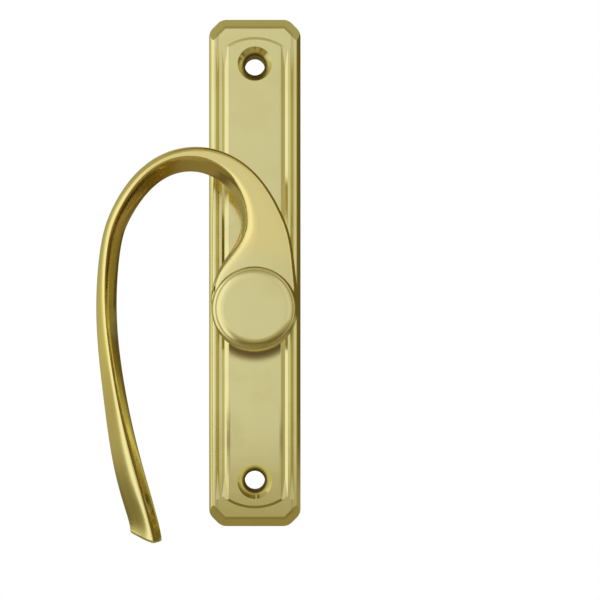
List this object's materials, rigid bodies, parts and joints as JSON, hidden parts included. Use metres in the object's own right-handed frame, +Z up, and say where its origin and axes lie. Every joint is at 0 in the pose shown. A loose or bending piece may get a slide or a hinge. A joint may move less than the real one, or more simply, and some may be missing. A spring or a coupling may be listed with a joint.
{
  "type": "french door lever handle",
  "caption": "Polished brass french door handle: a looped lever with a hanging, tapering grip turns in a long backplate with cut corners and springs back by itself.",
  "frame": {"origin": "on the spindle's axis, in the plane of the door face that the backplate rests on", "axes": "+Z up along the backplate, +Y along the spindle into the door, the front of the handle faces -Y, the grip hangs on the -X side"},
  "size_m": [0.0805, 0.0903, 0.2116],
  "materials": {
    "polished_brass": "polished",
    "nylon": "moulded",
    "zinc_plated_steel": "plated",
    "spring_steel": "drawn wire",
    "black_steel": "blackened"
  },
  "bodies": {
    "plate": {"backplate": "polished_brass", "neck_bush": "nylon", "thrust_washer": "zinc_plated_steel", "return_spring": "spring_steel", "anchor_pin": "zinc_plated_steel", "stop_pins": "zinc_plated_steel"},
    "lever": {"lever": "polished_brass", "drive_cam": "zinc_plated_steel", "retaining_ring": "spring_steel", "spindle": "zinc_plated_steel", "grub_screw": "black_steel"}
  },
  "joints": [
    {"name": "lever_turn", "type": "hinge", "parent": "plate", "child": "lever", "pos_m": [0, 0, 0], "axis": [0, -1, 0], "range_deg": [-45, 45], "stiffness_Nm_per_rad": 0.55, "springref_deg": -5.08, "deforming": ["return_spring"]}
  ]
}
